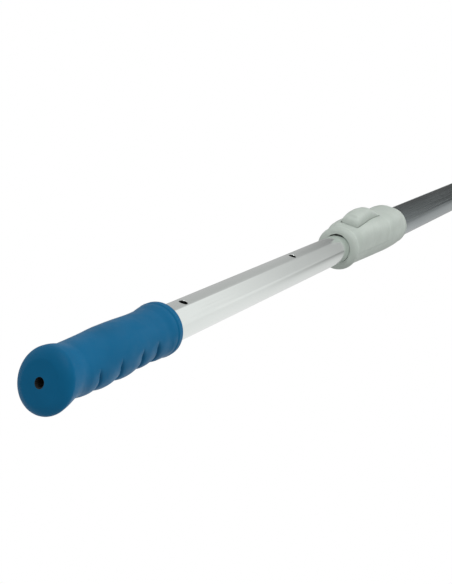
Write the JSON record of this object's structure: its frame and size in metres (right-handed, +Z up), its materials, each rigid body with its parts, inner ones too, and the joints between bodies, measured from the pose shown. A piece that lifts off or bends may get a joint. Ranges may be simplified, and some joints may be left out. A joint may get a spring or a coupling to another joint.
{
  "type": "pool wall brush",
  "caption": "Pool wall brush on a telescopic aluminium pole with a finger grip, a lever lock and a clip-on curved head.",
  "frame": {"origin": "in the middle of the whole tool's box, level with the lowest bristles; the pole's axis runs along X 54.7 mm above it", "axes": "+X runs along the pole from the grip to the brush, +Z is up with the finger grooves underneath, and the bristles point down and forward"},
  "size_m": [1.7056, 0.3396, 0.0894],
  "materials": {
    "grip_blue": "satin moulded",
    "bright_aluminium": "bright anodised, drawn along its length",
    "anodised_aluminium": "satin anodised, drawn along its length",
    "grey_plastic": "fine moulded matt",
    "white_plastic": "smooth",
    "stainless_steel": "plain",
    "back_blue": "satin moulded",
    "bumper_rubber": "matt",
    "nylon_bristle": "fine filaments"
  },
  "bodies": {
    "outer_pole": {"outer_tube": "anodised_aluminium", "collar_body": "grey_plastic", "liner_bush": "white_plastic", "collar_screw_front": "stainless_steel", "collar_screw_rear": "stainless_steel", "lever_pivot_pin": "stainless_steel", "lever_spring": "stainless_steel", "head_bracket": "grey_plastic", "clip_heel": "stainless_steel", "brush_back": "back_blue", "end_bumper_left": "bumper_rubber", "end_bumper_right": "bumper_rubber", "tuft_row_1": "nylon_bristle", "tuft_row_2": "nylon_bristle", "tuft_row_3": "nylon_bristle", "tuft_row_4": "nylon_bristle", "tuft_row_5": "nylon_bristle", "foot_screw_1": "stainless_steel", "foot_screw_2": "stainless_steel", "foot_screw_3": "stainless_steel", "foot_screw_4": "stainless_steel"},
    "guide": {"guide_bush": "white_plastic"},
    "handle": {"grip": "grip_blue", "inner_tube": "bright_aluminium", "retaining_ring": "stainless_steel", "inner_tube_plug": "white_plastic"},
    "lever": {"lever": "grey_plastic", "lock_pin": "stainless_steel"},
    "clip_left": {"clip_leg_left": "stainless_steel", "clip_button_left": "white_plastic"},
    "clip_right": {"clip_leg_right": "stainless_steel", "clip_button_right": "white_plastic"}
  },
  "joints": [
    {"name": "telescope", "type": "slide", "parent": "outer_pole", "child": "guide", "axis": [-1, 0, 0], "range_m": [-0.3155, 0.5433]},
    {"name": "handle_twist", "type": "hinge", "parent": "guide", "child": "handle", "pos_m": [0.14959, 0, 0.0547], "axis": [1, 0, 0], "continuous": true},
    {"name": "lever_rock", "type": "hinge", "parent": "outer_pole", "child": "lever", "pos_m": [-0.37041, -0.00537, 0.07344], "axis": [0, 0.9613, 0.2756], "range_deg": [-1.5, 3.1], "stiffness_Nm_per_rad": 1, "springref_deg": 14.32, "deforming": ["lever_spring"]},
    {"name": "clip_left_squeeze", "type": "hinge", "parent": "outer_pole", "child": "clip_left", "pos_m": [0.73759, 0.0017, 0.0547], "axis": [0, 0, 1], "range_deg": [0, 3.4], "stiffness_Nm_per_rad": 2, "springref_deg": -5.73},
    {"name": "clip_right_squeeze", "type": "hinge", "parent": "outer_pole", "child": "clip_right", "pos_m": [0.73759, -0.0017, 0.0547], "axis": [0, 0, -1], "range_deg": [0, 3.4], "stiffness_Nm_per_rad": 2, "springref_deg": -5.73}
  ]
}
